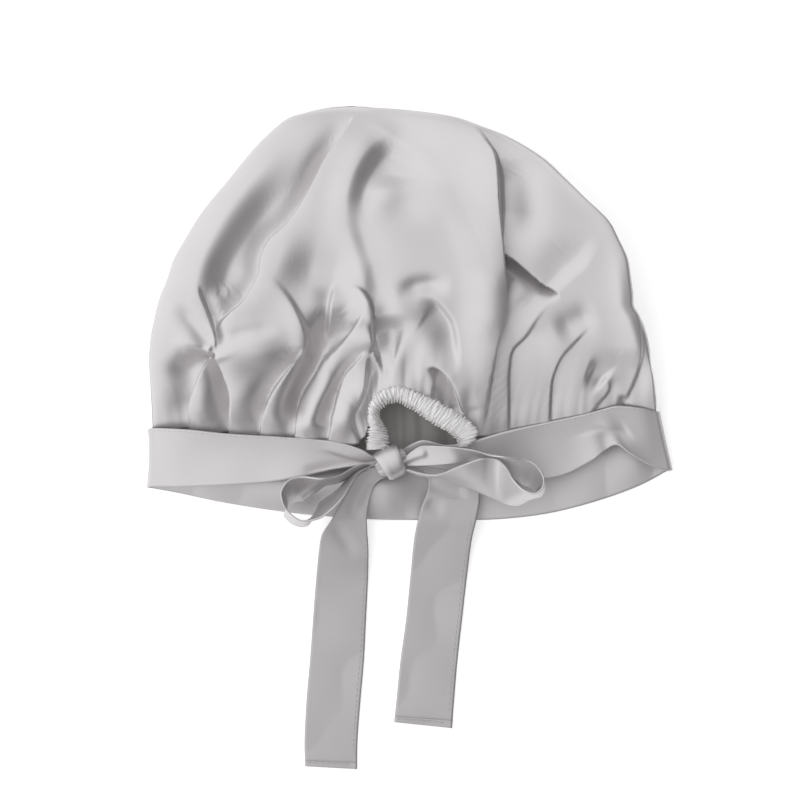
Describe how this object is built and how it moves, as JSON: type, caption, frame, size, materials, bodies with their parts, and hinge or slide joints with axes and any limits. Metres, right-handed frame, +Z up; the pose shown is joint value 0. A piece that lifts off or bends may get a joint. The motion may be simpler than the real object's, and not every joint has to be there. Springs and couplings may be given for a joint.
{
  "type": "silk bonnet",
  "caption": "Satin silk sleeping bonnet laid flat: puffed gathered crown, folded head band, elastic nape arch, and ties knotted in a bow with two loops and two tails.",
  "frame": {"origin": "on the table plane under the middle of the crown, at the crown's flat underside", "axes": "+Z up from the table, +X to the right as the bow is seen, +Y from the nape and bow towards the top of the crown"},
  "size_m": [0.2812, 0.3604, 0.0488],
  "materials": {
    "silk": "silver grey satin",
    "silk_lining": "silver grey satin",
    "gathered_silk": "pale gathered satin",
    "sewing_thread": "matt thread",
    "overlock_thread": "matt white thread",
    "woven_elastic": "matt white"
  },
  "bodies": {
    "cap": {"crown": "silk", "headband": "silk_lining", "seam_thread_back_left": "sewing_thread", "seam_thread_back_right": "sewing_thread", "seam_thread_front": "sewing_thread", "nape_casing": "gathered_silk", "nape_elastic": "woven_elastic", "nape_overlock_thread": "overlock_thread", "knot_wrap": "silk", "knot_core": "silk_lining"},
    "left_loop": {"bow_loop_left": "silk"},
    "right_loop": {"bow_loop_right": "silk"},
    "left_neck": {"tie_neck_left": "silk"},
    "left_tail": {"tie_tail_left": "silk", "tail_hem_left": "silk", "tail_edge_thread_left": "sewing_thread", "hem_thread_left": "sewing_thread"},
    "right_neck": {"tie_neck_right": "silk"},
    "right_tail": {"tie_tail_right": "silk", "tail_hem_right": "silk", "tail_edge_thread_right": "sewing_thread", "hem_thread_right": "sewing_thread"}
  },
  "joints": [
    {"name": "left_loop_lift", "type": "hinge", "parent": "cap", "child": "left_loop", "pos_m": [-0.0187, -0.07631, 0.02], "axis": [-0.3907, 0.9205, 0], "range_deg": [0, 40]},
    {"name": "right_loop_lift", "type": "hinge", "parent": "cap", "child": "right_loop", "pos_m": [-0.00076, -0.06794, 0.02], "axis": [-0.1564, -0.9877, 0], "range_deg": [0, 40]},
    {"name": "left_tie_swing", "type": "hinge", "parent": "cap", "child": "left_neck", "pos_m": [-0.01821, -0.08137, 0.011], "axis": [0, 0, 1], "range_deg": [-18, 3]},
    {"name": "left_tail_lift", "type": "hinge", "parent": "left_neck", "child": "left_tail", "pos_m": [-0.03169, -0.10473, 0.00945], "axis": [-0.9976, 0.0698, 0], "range_deg": [0, 70]},
    {"name": "right_tie_swing", "type": "hinge", "parent": "cap", "child": "right_neck", "pos_m": [0.00227, -0.07182, 0.011], "axis": [0, 0, 1], "range_deg": [-3, 12]},
    {"name": "right_tail_lift", "type": "hinge", "parent": "right_neck", "child": "right_tail", "pos_m": [0.02199, -0.09152, 0.00945], "axis": [-0.9925, 0.1219, 0], "range_deg": [0, 70]}
  ]
}
